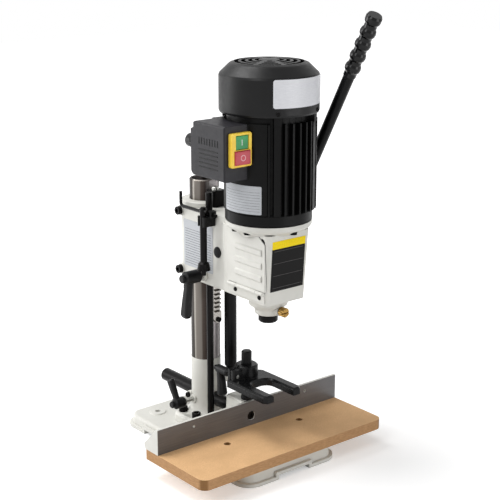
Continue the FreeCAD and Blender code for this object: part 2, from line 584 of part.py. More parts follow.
def head_casting():
    rear = union([cyl_z(HEAD_HALF, HEAD_BOTTOM, HEAD_DECK, 0, COLUMN_Y),
                  box(-HEAD_HALF, HEAD_HALF, -90, COLUMN_Y, HEAD_BOTTOM, HEAD_DECK)])
    front = stack([(-42, 42, -157, -40, 8, HEAD_BOTTOM), (-45, 45, -165, -40, 9, 420)])
    rim = spin_z([(0, HEAD_DECK - 4), (HEAD_HALF, HEAD_DECK - 4), (HEAD_HALF, HEAD_DECK + 7),
                  (HEAD_HALF - 2, HEAD_DECK + 9), (0, HEAD_DECK + 9)], 0, COLUMN_Y)
    seat = spin_z([(0, 400), (46, 400), (52, 414), (SEAT_R - 2, 425), (SEAT_R, 428),
                   (SEAT_R, SEAT_Z), (0, SEAT_Z)], 0, SPINDLE_Y)
    nose = spin_z([(0, COLLAR_BOTTOM), (COLLAR_R - 1.5, COLLAR_BOTTOM), (COLLAR_R, COLLAR_BOTTOM + 1.5),
                   (COLLAR_R + 1, 279), (COLLAR_R + 3, 282), (NOSE_R - 1, 286.5), (NOSE_R, 288),
                   (NOSE_R, HEAD_BOTTOM + 5), (0, HEAD_BOTTOM + 5)], 0, SPINDLE_Y)
    screw_boss = cyl_y(8.5, SPINDLE_Y - SCREW_BOSS_REACH, SPINDLE_Y, 0, CHISEL_SCREW_Z)
    shaft_boss = spin_x([(0, 0), (0, 24), (70, 22), (74, 19.5), (74, 0)], SHAFT_Y, SHAFT_Z)
    lug_y = COLUMN_Y + 14
    lugs = [cyl_x(9.0, -HEAD_HALF - 1.5, 0, lug_y, z) for z in (312, 418)]
    lock_boss = cyl_x(11.0, -HEAD_HALF - 5, -20, DEPTH_LOCK[0], DEPTH_LOCK[1])
    solid = union([rear, front, rim, seat, nose, screw_boss, shaft_boss, lock_boss] + lugs)
    cuts = [cyl_z(COLUMN_R + RUNNING_GAP, HEAD_BOTTOM - 1, HEAD_DECK + 10, 0, COLUMN_Y),
            box(-9, 9, 20, COLUMN_Y - 15, HEAD_BOTTOM - 1, HEAD_DECK + 10),
            cyl_x(PITCH_R + 4.5, -10.5, 10.5, SHAFT_Y, SHAFT_Z).common(box(-11, 11, -90, 40, 303, 425)),
            cyl_z(GAS_R + 1.5, HEAD_BOTTOM - 1, 412, GAS_X, GAS_Y),
            cyl_z(4.1, 411, HEAD_DECK + 1, GAS_X, GAS_Y),
            cyl_z(8.5, HEAD_DECK, HEAD_DECK + 12, GAS_X, GAS_Y),
            cyl_z(DEPTH_ROD_R + RUNNING_GAP, HEAD_BOTTOM - 1, HEAD_DECK + 10, DEPTH_ROD_X, DEPTH_ROD_Y),
            cyl_x(4.0 + RUNNING_GAP, -60, DEPTH_ROD_X, DEPTH_LOCK[0], DEPTH_LOCK[1]),
            cyl_x(14.0, -30.0, 75, SHAFT_Y, SHAFT_Z),
            cyl_x(7.5, -HEAD_HALF - 1, -29, SHAFT_Y, SHAFT_Z)]
    # Chuck chamber, open on the door's side, and the bores above and below it.
    cuts += [box(-50, 34, -146, -90, DOOR_BOTTOM, 410),
             door_recess(),
             box(-50, HINGE_LEAF_X, DOOR_FRONT - 0.4, DOOR_REAR + 0.4, HEAD_BOTTOM + 3, DOOR_BOTTOM),
             cyl_z(14.0, COLLAR_BOTTOM - 1, DOOR_BOTTOM + 1, 0, SPINDLE_Y),
             cyl_z(21.0, 409, SEAT_Z + 1, 0, SPINDLE_Y),
             cyl_y(3.0 + RUNNING_GAP, SPINDLE_Y - SCREW_BOSS_REACH - 1, SPINDLE_Y, 0, CHISEL_SCREW_Z),
             box(-STOP_HALF - 0.6, STOP_HALF + 0.6, 15, COLUMN_Y - 20, HEAD_DECK, HEAD_DECK + 12)]
    cuts += [cyl_x(3.2, -HEAD_HALF - 3, -26.5, lug_y, z) for z in (312, 418)]
    cuts += [cyl_x(1.9, HINGE_LEAF_X - 1, HINGE_LEAF_X + 9, y, HINGE_SCREW_Z) for y in HINGE_SCREWS]
    for x, y in motor_bolt_places():
        cuts.append(cyl_z(3.2, SEAT_Z - 20, SEAT_Z + 1, x, y))
        cuts.append(cyl_z(7.0, SEAT_Z - 30, MOTOR_BOLT_SEAT, x, y))
    return minus(solid, cuts)


def gib_screws():
    screw = socket_screw(7.5, 7.5, 3.1, 14.0)
    x = -HEAD_HALF - 1.5
    return group([placed(screw, vec(x, COLUMN_Y + 14, z), vec(-1, 0, 0)) for z in (312, 418)])


def chisel_socket():
    body = spin_z([(0, SOCKET_BOTTOM), (14.5, SOCKET_BOTTOM), (16.5, SOCKET_BOTTOM + 2),
                   (16.5, COLLAR_BOTTOM), (13.98, COLLAR_BOTTOM), (13.98, 298), (0, 298)], 0, SPINDLE_Y)
    return minus(body, [cyl_z(SHANK_BORE_R, SOCKET_BOTTOM - 1, 299, 0, SPINDLE_Y),
                        cyl_y(3.0 + RUNNING_GAP, SPINDLE_Y - 30, SPINDLE_Y, 0, CHISEL_SCREW_Z)])


def chisel_screw():
    """Thumb screw with a grooved rim and a screwdriver slot across its end."""
    y, z, rim = SPINDLE_Y - SCREW_BOSS_REACH - 0.4, CHISEL_SCREW_Z, 8.2
    shank = cyl_y(3.0, y - 1, SPINDLE_Y - SHANK_BORE_R - 0.4, 0, z)
    head = spin_y([(y, 0), (y, 5.5), (y - 1.5, rim), (y - 11, rim), (y - 12.5, rim - 1.5),
                   (y - 12.5, 0)], 0, z)
    notches = [box(-rim, rim, y - 14, y - 9.5, z - 1.1, z + 1.1)]
    for i in range(8):
        a = math.radians(22.5 + 45 * i)
        notches.append(cyl_y(1.8, y - 14, y - 1.0, 9.0 * math.cos(a), z + 9.0 * math.sin(a)))
    return minus(union([shank, head]), notches)


# ---- Feed gear and lever ----
def feed_gear():
    """Spur gear on the X axis with involute flanks; one tooth points straight at the rack."""
    base_r = PITCH_R * math.cos(PRESSURE_ANGLE)
    tip_r, root_r = PITCH_R + TOOTH_MODULE, PITCH_R - 1.25 * TOOTH_MODULE
    thin = 0.10 / PITCH_R

    def involute(radius):
        angle = math.acos(base_r / radius)
        return math.tan(angle) - angle

    half_at_pitch = math.pi / (2 * GEAR_TEETH) - thin
    flank = []
    steps, low_r = 3, max(base_r, root_r + 0.3)
    for step in range(steps + 1):
        radius = low_r + (tip_r - low_r) * step / steps
        flank.append((radius, half_at_pitch + involute(PITCH_R) - involute(radius)))
    outline = []
    for tooth in range(GEAR_TEETH):
        centre = 2 * math.pi * tooth / GEAR_TEETH
        outline.append((root_r, centre - flank[0][1] - 0.004))
        outline += [(r, centre - a) for r, a in flank]
        outline += [(r, centre + a) for r, a in reversed(flank)]
        outline.append((root_r, centre + flank[0][1] + 0.004))
    points = [vec(-8, SHAFT_Y + r * math.cos(a), SHAFT_Z + r * math.sin(a)) for r, a in outline]
    gear = prism(points, vec(16, 0, 0))
    for side in (-9, 4.5):
        dish = cyl_x(44, side, side + 4.5, SHAFT_Y, SHAFT_Z)
        gear = gear.cut(dish.cut(cyl_x(18, side, side + 4.5, SHAFT_Y, SHAFT_Z)))
    return gear.cut(cyl_x(SHAFT_R + 0.01, -9, 9, SHAFT_Y, SHAFT_Z))


def feed_shaft():
    return spin_x([(-28, 0), (-28, SHAFT_R - 1), (-27, SHAFT_R), (109, SHAFT_R), (111, SHAFT_R - 2),
                   (111, 0)], SHAFT_Y, SHAFT_Z)


def shaft_bushes():
    bushes = []
    for x0, x1 in ((-29.5, -11.0), (12.0, 32.0), (54.0, 74.0)):
        ring = cyl_x(13.98, x0, x1, SHAFT_Y, SHAFT_Z)
        bushes.append(ring.cut(cyl_x(SHAFT_R + RUNNING_GAP, x0 - 1, x1 + 1, SHAFT_Y, SHAFT_Z)))
    return group(bushes)


def lever_direction():
    return vec(0, -math.sin(LEVER_LEAN), math.cos(LEVER_LEAN))


def lever_hub():
    hub = spin_x([(79, 0), (79, 19), (81, 21), (109, 21), (113, 17), (113, 0)], SHAFT_Y, SHAFT_Z)
    start = vec(LEVER_X, SHAFT_Y, SHAFT_Z)
    socket = placed(Part.makeCone(15, 12.8, 36), start, lever_direction())
    hub = union([hub, socket])
    rod_hole = placed(cyl_z(LEVER_ROD_R + 0.01, 12, 40), start, lever_direction())
    return minus(hub, [cyl_x(SHAFT_R + 0.01, 78, 114, SHAFT_Y, SHAFT_Z), rod_hole])


def lever_rod():
    start = vec(LEVER_X, SHAFT_Y, SHAFT_Z)
    rod = spin_z([(0, 12.5), (LEVER_ROD_R, 12.5), (LEVER_ROD_R, LEVER_REACH - 12),
                  (LEVER_ROD_R - 1.5, LEVER_REACH - 10), (0, LEVER_REACH - 10)], 0, 0)
    return placed(rod, start, lever_direction())


def lever_grip():
    """Moulded grip: a sleeve, four rings with necks between them and a thick flat end."""
    neck, ring, spacing = 10.6, 13.4, 22.0
    profile = [(LEVER_ROD_R, GRIP_START), (neck, GRIP_START)]
    for i in range(4):
        centre = GRIP_START + 16.0 + spacing * i
        profile += [(neck, centre - 8), (ring - 0.5, centre - 4), (ring, centre), (ring - 0.8, centre + 4),
                    (neck, centre + 8)]
    profile += [(neck, LEVER_REACH - 16), (ring - 0.6, LEVER_REACH - 13), (ring, LEVER_REACH - 10),
                (ring, LEVER_REACH - 4), (ring - 2, LEVER_REACH), (0, LEVER_REACH), (0, LEVER_REACH - 9.5),
                (LEVER_ROD_R, LEVER_REACH - 9.5)]
    return placed(spin_z(profile, 0, 0), vec(LEVER_X, SHAFT_Y, SHAFT_Z), lever_direction())


# ---- Motor ----
def fin_angles():
    """Fins stand every 10 degrees, except on the smooth side that carries the switch box."""
    bosses = (60, 120, 240, 300)
    return [a for a in range(0, 360, 10) if a not in bosses and not 130 <= a < 230], bosses


def motor_end_bell():
    y = SPINDLE_Y
    bell = spin_z([(0, SEAT_Z), (SEAT_R - 1.5, SEAT_Z), (SEAT_R + 0.3, SEAT_Z + 2), (SEAT_R + 0.3, 453),
                   (SEAT_R - 1, 455), (0, 455)], 0, y)
    register = cyl_z(20.9, 421, SEAT_Z, 0, y)
    bell = union([bell, register])
    cuts = [cyl_z(17.5, 420, 433, 0, y), cyl_z(12.0, 420, 456, 0, y), cyl_z(40, 445, 456, 0, y)]
    cuts += [cyl_z(3.12, SEAT_Z - 1, SEAT_Z + 10, bx, by) for bx, by in motor_bolt_places()]
    return minus(bell, cuts)


def motor_body():
    y = SPINDLE_Y
    low, high = 455.0, MOTOR_FIN_TOP
    core = cyl_z(MOTOR_CORE_R, low, high, 0, y)
    wedge_x, wedge_y = 120 * math.cos(math.radians(132)), 120 * math.sin(math.radians(132))
    wedge = prism([vec(0, y, low), vec(wedge_x, y - wedge_y, low), vec(-140, y, low),
                   vec(wedge_x, y + wedge_y, low)], vec(0, 0, high - 4 - low))
    smooth = cyl_z(SMOOTH_R, low, high - 4, 0, y).common(wedge)
    shapes = [core, smooth, terminal_pad()]
    angles, bosses = fin_angles()
    for angle in angles:
        fin = [vec(MOTOR_CORE_R - 4, y - 2.3, low), vec(MOTOR_FIN_R, y - 1.5, low),
               vec(MOTOR_FIN_R, y + 1.5, low), vec(MOTOR_CORE_R - 4, y + 2.3, low)]
        shapes.append(turned(prism(fin, vec(0, 0, high - 2 - low)), vec(0, y, 0), vec(0, 0, 1), angle))
    for angle in bosses:
        boss = box(MOTOR_CORE_R - 6, MOTOR_FIN_R - 0.8, y - 5.5, y + 5.5, low, high - 2)
        shapes.append(turned(boss, vec(0, y, 0), vec(0, 0, 1), angle))
    solid = union(shapes)
    # Register for the cowl: the top 10 mm is turned down to the core.
    lip = cyl_z(COWL_R + 2, high - 12, high + 1, 0, y)
    lip = lip.cut(cyl_z(MOTOR_CORE_R + 0.5, high - 13, high + 2, 0, y))
    # Four bosses inside the cowl take its screws.
    ears = []
    for angle in COWL_SCREW_ANGLES:
        ear = box(MOTOR_CORE_R - 6, COWL_R, y - 6, y + 6, high - 14, high + 10).common(
            cyl_z(COWL_BORE_R - 0.1, high - 14, high + 10, 0, y))
        ear = ear.cut(cyl_x(1.62, MOTOR_CORE_R, COWL_R, y, COWL_SCREW_Z))
        ears.append(turned(ear, vec(0, y, 0), vec(0, 0, 1), angle))
    solid = minus(solid, [lip])
    solid = union([solid] + ears)
    return minus(solid, [cyl_z(36, low - 1, high - 14, 0, y), cyl_z(12, high - 20, high + 11, 0, y)])


def fan_cowl():
    y, wall = SPINDLE_Y, COWL_R - COWL_BORE_R
    outer = [(COWL_R - 1.2, 613), (COWL_R, 616), (COWL_R, 671), (COWL_R - 1.4, 674.5), (66, 688), (63.5, 690),
             (58, 692), (0, COWL_TOP)]
    inner = [(0, COWL_TOP - wall), (57.6, 689.8), (62.4, 688), (64.6, 686.4), (COWL_R - wall - 1.2, 673.2),
             (COWL_R - wall, 670), (COWL_R - wall, 613)]
    cowl = spin_z(outer + inner, 0, y)
    slots = []
    for mid_r in (20.0, 31.0, 42.0, 53.0):
        ring = cyl_z(mid_r + 3.3, 684, 700, 0, y).cut(cyl_z(mid_r - 3.3, 683, 701, 0, y))
        half_arm = math.degrees(4.0 / mid_r)
        for i, arm in enumerate(GRILLE_ARMS):
            following = GRILLE_ARMS[(i + 1) % 4] + (360 if i == 3 else 0)
            start, end = arm + half_arm, following - half_arm
            steps = [math.radians(start + (end - start) * k / 5.0) for k in range(6)]
            sector = [vec(0, y, 683)] + [vec(110 * math.cos(a), y + 110 * math.sin(a), 683) for a in steps]
            slots.append(ring.common(prism(sector, vec(0, 0, 20))))
    cowl = cowl.cut(Part.makeCompound(slots))
    holes = [turned(cyl_x(1.7, 70, 90, y, COWL_SCREW_Z), vec(0, y, 0), vec(0, 0, 1), angle)
             for angle in COWL_SCREW_ANGLES]
    return minus(cowl, holes)


def cowl_screws():
    screws = []
    for angle in COWL_SCREW_ANGLES:
        screw = placed(socket_screw(3.4, 1.8, 1.6, 9.0), vec(COWL_R, SPINDLE_Y, COWL_SCREW_Z), vec(1, 0, 0))
        screws.append(turned(screw, vec(0, SPINDLE_Y, 0), vec(0, 0, 1), angle))
    return group(screws)


def motor_shaft():
    """Shaft with its rotor core; its lower end carries the chuck, its upper end the fan."""
    y = SPINDLE_Y
    return spin_z([(0, 366), (8, 366), (8, 424), (10, 424), (10, 462), (34.5, 462), (34.5, 592), (10, 592),
                   (10, 600), (7, 600), (7, 652), (6, 653), (0, 653)], 0, y)


def motor_bearings():
    rings = []
    for low, high, r_in, r_out in ((424.5, 432.8, 10.0, 17.4), (600.5, 608.5, 7.0, 11.9)):
        ring = cyl_z(r_out, low, high, 0, SPINDLE_Y)
        rings.append(ring.cut(cyl_z(r_in + RUNNING_GAP, low - 1, high + 1, 0, SPINDLE_Y)))
    return group(rings)


def cooling_fan():
    y = SPINDLE_Y
    hub = spin_z([(7.0, 626), (17, 626), (17, 646), (15, 648), (7.0, 648)], 0, y)
    disc = spin_z([(16, 628), (64, 628), (64, 630.5), (16, 630.5)], 0, y)
    shapes = [hub, disc]
    for i in range(8):
        blade = box(14, 64, y - 1.2, y + 1.2, 629, 656)
        blade = blade.cut(Part.makeCone(64, 20, 14, vec(0, y, 649)).cut(cyl_z(18, 640, 670, 0, y)))
        shapes.append(turned(blade, vec(0, y, 0), vec(0, 0, 1), 45 * i))
    fan = union(shapes)
    return fan.common(cyl_z(66, 620, 652, 0, y))


def drill_chuck():
    """Keyed chuck: taper body, toothed sleeve and three jaws."""
    y = SPINDLE_Y
    body = spin_z([(0, 330), (11, 330), (18, 341), (20.5, 344), (20.5, 362), (17, 364), (17, 388), (15, 390),
                   (0, 390)], 0, y)
    jaws = []
    for i in range(3):
        jaw = Part.makeCylinder(3.0, 16, vec(5.5, y, 322), vec(0, 0, 1))
        jaws.append(turned(jaw, vec(0, y, 0), vec(0, 0, 1), 30 + 120 * i))
    body = union([body] + jaws)
    key_holes = []
    for i in range(3):
        hole = cyl_x(3.2, 10, 30, y, 371)
        key_holes.append(turned(hole, vec(0, y, 0), vec(0, 0, 1), 90 + 120 * i))
    return minus(body, [cyl_z(4.2, 320, 352, 0, y), cyl_z(8.0, 366, 391, 0, y)] + key_holes)


# ---- Switch box ----
def motor_side():
    """The space that the motor's smooth side takes, with a hair of clearance."""
    return cyl_z(SMOOTH_R + 0.1, BOX_BOTTOM - 20, BOX_TOP + 20, 0, SPINDLE_Y)


def terminal_pad():
    """Flat pad cast on the motor's smooth side, which the switch box is screwed to."""
    outline = [(BOX_SEAM, BOX_FRONT), (BOX_SEAM + 5, BOX_FRONT), (-52, BOX_FRONT - 5), (-36, BOX_FRONT - 9),
               (-36, BOX_BACK - 8), (-52, BOX_BACK - 1), (BOX_SEAM, BOX_BACK)]
    return prism([vec(px, py, BOX_BOTTOM + 1) for px, py in outline], vec(0, 0, BOX_TOP - BOX_BOTTOM - 2))


def switch_box_cover():
    x0, x1 = BOX_LEFT, BOX_SEAM
    notch_y, notch_z = BOX_BACK - 9, BOX_TOP - 14
    profile = [(BOX_FRONT, BOX_BOTTOM), (BOX_BACK - 8, BOX_BOTTOM), (BOX_BACK, BOX_BOTTOM + 9),
               (BOX_BACK, notch_z), (notch_y, notch_z + 4), (notch_y, BOX_TOP - 2), (notch_y - 3, BOX_TOP),
               (BOX_FRONT, BOX_TOP)]
    solid = prism([vec(x0, py, pz) for py, pz in profile], vec(x1 - x0, 0, 0))
    edges = [e for e in solid.Edges if abs(e.CenterOfMass.x - x0) < 0.01 and e.Length > 20]
    solid = solid.makeFillet(3.0, edges)
    inside = box(x0 + 3, x1 + 1, BOX_FRONT + 3, notch_y - 3, BOX_BOTTOM + 3, BOX_TOP - 3)
    window = box(-102.6, -69.9, BOX_FRONT - 1, BOX_FRONT + 4, 539.5, 588.5)
    gland_hole = cyl_y(8.05, BOX_BACK - 20, BOX_BACK + 1, GLAND_X, GLAND_Z)
    return minus(solid, [inside, window, gland_hole, motor_side()])


PLATE_FRONT = BOX_FRONT - 8.0


def switch_plate():
    plate = stack([(-107, -66, 537, 591, 3.0, 0), (-107, -66, 537, 591, 3.0, 6.5),
                   (-106, -67, 538, 590, 2.5, 8.0)])
    plate.rotate(vec(0, 0, 0), vec(1, 0, 0), 90)
    plate.translate(vec(0, BOX_FRONT, 0))
    start_well = box(-98.5, -72.5, PLATE_FRONT - 1, BOX_FRONT + 1, 564.5, 587.5)
    stop_well = box(-101.5, -69.9, PLATE_FRONT - 1, BOX_FRONT + 1, 540.5, 563.5)
    return minus(plate, [start_well, stop_well, motor_side()])


def push_button(x0, x1, z0, z1, stand):
    """Square button with a stem that reaches into the box; its face stands proud of the plate."""
    front = PLATE_FRONT - stand
    cap = stack([(x0, x1, z0, z1, 1.5, 0), (x0, x1, z0, z1, 1.5, 9 + stand),
                 (x0 + 1, x1 - 1, z0 + 1, z1 - 1, 1.2, 10 + stand)])
    cap.rotate(vec(0, 0, 0), vec(1, 0, 0), 90)
    cap.translate(vec(0, front + 10 + stand, 0))
    stem = cyl_y(3.0, front + 9, front + 24, (x0 + x1) / 2, (z0 + z1) / 2)
    return union([cap, stem])


def cable_gland():
    x, z = GLAND_X, GLAND_Z
    nut = prism([vec(x + 13 * math.cos(a), BOX_BACK, z + 13 * math.sin(a))
                 for a in [math.radians(60 * i) for i in range(6)]], vec(0, 6, 0))
    dome = spin_y([(BOX_BACK - 3, 0), (BOX_BACK - 3, 8), (BOX_BACK, 8), (BOX_BACK + 6, 11.8),
                   (BOX_BACK + 18, 11), (BOX_BACK + 22, 7.5), (BOX_BACK + 22, 0)], x, z)
    return union([nut, dome]).cut(cyl_y(3.6, BOX_BACK - 4, BOX_BACK + 23, x, z))


# ---- Door, keys and small fittings ----
def door_outline(gap, x0, x1):
    """Door shape seen from the side, with its upper front corner cut off; gap widens it all round."""
    front, rear, top = DOOR_FRONT - gap, DOOR_REAR + gap, DOOR_TOP + gap
    points = [vec(x0, rear, DOOR_BOTTOM - gap), vec(x0, rear, top), vec(x0, front + 20 + gap, top),
              vec(x0, front, DOOR_CORNER_Z + gap), vec(x0, front, DOOR_BOTTOM - gap)]
    return prism(points, vec(x1 - x0, 0, 0))


def door_recess():
    return door_outline(1.0, -50, -HEAD_HALF)


def door_left():
    face, back = DOOR_FACE, -HEAD_HALF - 0.4
    hx, hz = DOOR_HINGE
    shapes = [door_outline(0.0, face, back)]
    for i in range(3):
        z = 346.0 + 22.0 * i
        rib = [(face + 0.5, z - 7), (face - 2.0, z - 4), (face - 2.0, z + 3), (face + 0.5, z + 6)]
        shapes.append(prism([vec(px, -80, pz) for px, pz in rib], vec(0, -68, 0)))
    y0, y1 = HINGE_SPLITS[0] + 0.5, HINGE_SPLITS[1] - 0.5
    shapes.append(cyl_y(KNUCKLE_R, y0, y1, hx, hz))
    shapes.append(box(face, face + 2.4, y0, y1, hz, DOOR_BOTTOM + 1))
    return minus(union(shapes), [cyl_y(1.5 + RUNNING_GAP, y0 - 1, y1 + 1, hx, hz)])


def door_hinge():
    """Leaf screwed to the head under the door, with a knuckle at each end and the hinge pin."""
    hx, hz = DOOR_HINGE
    leaf = box(HINGE_LEAF_X - 1.6, HINGE_LEAF_X, DOOR_FRONT + 3, DOOR_REAR - 3, HEAD_BOTTOM + 4.5, 317.3)
    shapes = [leaf, cyl_y(1.5, DOOR_FRONT + 3, DOOR_REAR - 3, hx, hz)]
    for y0, y1 in ((DOOR_FRONT + 3, HINGE_SPLITS[0]), (HINGE_SPLITS[1], DOOR_REAR - 3)):
        shapes.append(cyl_y(KNUCKLE_R, y0, y1, hx, hz))
        shapes.append(box(HINGE_LEAF_X - 1.6, HINGE_LEAF_X - 0.1, y0, y1, 316, hz))
        shapes.append(box(hx, HINGE_LEAF_X - 1.0, y0, y1, hz - KNUCKLE_R, hz))
    return minus(union(shapes), [cyl_x(2.1, -50, -40, y, HINGE_SCREW_Z) for y in HINGE_SCREWS])


def hinge_screws():
    screw = spin_z([(0, -8.5), (1.85, -8.5), (1.85, 0), (3.9, 0), (3.6, 1.4), (2.4, 2.4), (0, 2.6)], 0, 0)
    screw = screw.cut(hexagon(1.4, 1.0, 3.0, 0, 0))
    x = HINGE_LEAF_X - 1.6
    return group([placed(screw, vec(x, y, HINGE_SCREW_Z), vec(-1, 0, 0)) for y in HINGE_SCREWS])


def cover_plug():
    return spin_x([(-33, 0), (-33, 7.4), (-HEAD_HALF, 7.4), (-HEAD_HALF, 9.5), (-HEAD_HALF - 1.2, 9.5),
                   (-HEAD_HALF - 2.6, 8), (-HEAD_HALF - 2.6, 0)], SHAFT_Y, SHAFT_Z)


KEY_X, KEY_Y = -60.0, -12.0
KEY_R = 6.0
HEX_X, HEX_Z = -49.5, 430.0


def key_clip():
    """Rubber block on the head's side: an open notch for the chuck key, a bore for the hexagon key."""
    block = rounded_block(-66, -HEAD_HALF, KEY_Y - 10, KEY_Y + 10, 3, 410, 427)
    ear = rounded_block(-54.5, -HEAD_HALF, KEY_Y - 13, KEY_Y - 1, 3, 424, 435.5)
    solid = union([block, ear])
    notch = cyl_z(KEY_R + 0.1, 400, 430, KEY_X, KEY_Y).fuse(
        box(-70, KEY_X, KEY_Y - KEY_R - 0.1, KEY_Y + KEY_R + 0.1, 400, 430))
    return minus(solid, [notch, cyl_y(3.05, KEY_Y - 30, KEY_Y, HEX_X, HEX_Z)])


def chuck_key():
    """Chuck key: pilot, bevel teeth, shaft and a short cross pin."""
    x, y = KEY_X, KEY_Y
    shaft = spin_z([(0, 324), (3.6, 324), (4, 326), (4, 332), (11.5, 333), (9.5, 345), (KEY_R, 348),
                    (KEY_R, 440), (KEY_R - 2, 443), (0, 443)], x, y)
    shaft = union([shaft, cyl_y(3.0, y - 11, y + 8, x, 437)])
    teeth = []
    for i in range(12):
        a = math.radians(30 * i)
        teeth.append(cyl_z(1.3, 330, 346, x + 11.1 * math.cos(a), y + 11.1 * math.sin(a)))
    return minus(shaft, teeth)


def hex_key():
    """Six-sided L key lying along Y in the clip, short arm up at the back."""
    y0, y1, r, bend = KEY_Y - 22.0, 66.0, 3.0, 6.0
    centre_y, centre_z = y1 - bend, HEX_Z + bend
    path = Part.Wire([
        Part.LineSegment(vec(HEX_X, y0, HEX_Z), vec(HEX_X, centre_y, HEX_Z)).toShape(),
        Part.Arc(vec(HEX_X, centre_y, HEX_Z), vec(HEX_X, centre_y + bend * math.sqrt(0.5),
                                                  centre_z - bend * math.sqrt(0.5)),
                 vec(HEX_X, y1, centre_z)).toShape(),
        Part.LineSegment(vec(HEX_X, y1, centre_z), vec(HEX_X, y1, HEX_Z + 25)).toShape()])
    section = Part.makePolygon([vec(HEX_X + r * math.cos(math.radians(60 * i)), y0,
                                    HEX_Z + r * math.sin(math.radians(60 * i))) for i in range(7)])
    return path.makePipeShell([section], True, False)


def motor_bolts():
    """Bolts up through the seat's overhang into the motor's end bell."""
    bolts = []
    for x, y in motor_bolt_places():
        head = hexagon(6.0, MOTOR_BOLT_SEAT - 5.0, MOTOR_BOLT_SEAT, x, y)
        bolts.append(union([head, cyl_z(3.1, MOTOR_BOLT_SEAT - 1, SEAT_Z + 9, x, y)]))
    return group(bolts)


def build_all():
    PARTS["base_casting"] = base_casting()
    PARTS["table_board"] = table_board()
    PARTS["table_screws"] = table_screws()
    PARTS["column_holder"] = column_holder()
    PARTS["holder_bolts"] = holder_bolts()
    PARTS["column_tube"] = column_tube()
    PARTS["feed_rack"] = feed_rack()
    PARTS["rack_screws"] = rack_screws()
    PARTS["rack_stop"] = rack_stop()
    PARTS["stop_screw"] = stop_screw()
    PARTS["gas_cylinder"] = gas_cylinder()
    PARTS["gas_nut_lower"] = gas_nut_lower()
    PARTS["gas_rod"] = gas_rod()
    PARTS["gas_nut_upper"] = gas_nut_upper()
    PARTS["depth_rod"] = depth_rod()
    PARTS["fence_casting"] = fence_casting()
    PARTS["fence_bar"] = fence_bar()
    PARTS["fence_bar_screw"] = fence_bar_screw()
    PARTS["hold_down_post"] = hold_down_post()
    PARTS["hold_down_fork"] = hold_down_fork()
    build_levers()
    PARTS["head_casting"] = head_casting()
    PARTS["gib_screws"] = gib_screws()
    PARTS["chisel_socket"] = chisel_socket()
    PARTS["chisel_screw"] = chisel_screw()
    PARTS["feed_gear"] = feed_gear()
    PARTS["feed_shaft"] = feed_shaft()
    PARTS["shaft_bushes"] = shaft_bushes()
    PARTS["lever_hub"] = lever_hub()
    PARTS["lever_rod"] = lever_rod()
    PARTS["lever_grip"] = lever_grip()
    PARTS["motor_end_bell"] = motor_end_bell()
    PARTS["motor_body"] = motor_body()
    PARTS["motor_bearings"] = motor_bearings()
    PARTS["motor_shaft"] = motor_shaft()
    PARTS["fan_cowl"] = fan_cowl()
    PARTS["cowl_screws"] = cowl_screws()
    PARTS["cooling_fan"] = cooling_fan()
    PARTS["drill_chuck"] = drill_chuck()
    PARTS["switch_box_cover"] = switch_box_cover()
    PARTS["switch_plate"] = switch_plate()
    PARTS["start_button"] = push_button(-98.0, -73.0, 565.0, 587.0, -1.0)
    PARTS["stop_button"] = push_button(-101.0, -70.4, 541.0, 563.0, 2.5)
    PARTS["cable_gland"] = cable_gland()
    PARTS["door_left"] = door_left()
    PARTS["door_hinge"] = door_hinge()
    PARTS["hinge_screws"] = hinge_screws()
    PARTS["motor_bolts"] = motor_bolts()
    PARTS["cover_plug"] = cover_plug()
    PARTS["key_clip"] = key_clip()
    PARTS["chuck_key"] = chuck_key()
    PARTS["hex_key"] = hex_key()


build_all()
os.makedirs("parts", exist_ok=True)
for name, shape in PARTS.items():
    shape.exportStep("parts/" + name + ".step")
    print(name, shape.ShapeType, len(shape.Solids), "valid", shape.isValid(), "volume %.0f" % shape.Volume)
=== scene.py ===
"""Benchtop mortiser: finishes, plates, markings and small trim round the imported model, in metres."""
import math

import bmesh
import bpy
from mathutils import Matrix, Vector


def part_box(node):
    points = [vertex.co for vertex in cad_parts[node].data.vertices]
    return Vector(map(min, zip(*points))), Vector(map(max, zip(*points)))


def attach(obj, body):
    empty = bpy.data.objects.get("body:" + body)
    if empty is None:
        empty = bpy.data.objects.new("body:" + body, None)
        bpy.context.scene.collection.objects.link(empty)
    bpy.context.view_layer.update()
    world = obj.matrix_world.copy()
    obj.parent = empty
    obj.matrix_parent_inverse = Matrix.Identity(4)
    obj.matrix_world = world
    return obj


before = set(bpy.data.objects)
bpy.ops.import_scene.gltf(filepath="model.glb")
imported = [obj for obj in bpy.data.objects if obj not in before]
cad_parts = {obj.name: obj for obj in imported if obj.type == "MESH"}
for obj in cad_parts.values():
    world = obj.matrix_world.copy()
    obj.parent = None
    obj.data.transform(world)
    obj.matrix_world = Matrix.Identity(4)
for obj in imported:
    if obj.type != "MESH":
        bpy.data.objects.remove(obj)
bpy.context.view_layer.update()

MM = 0.001

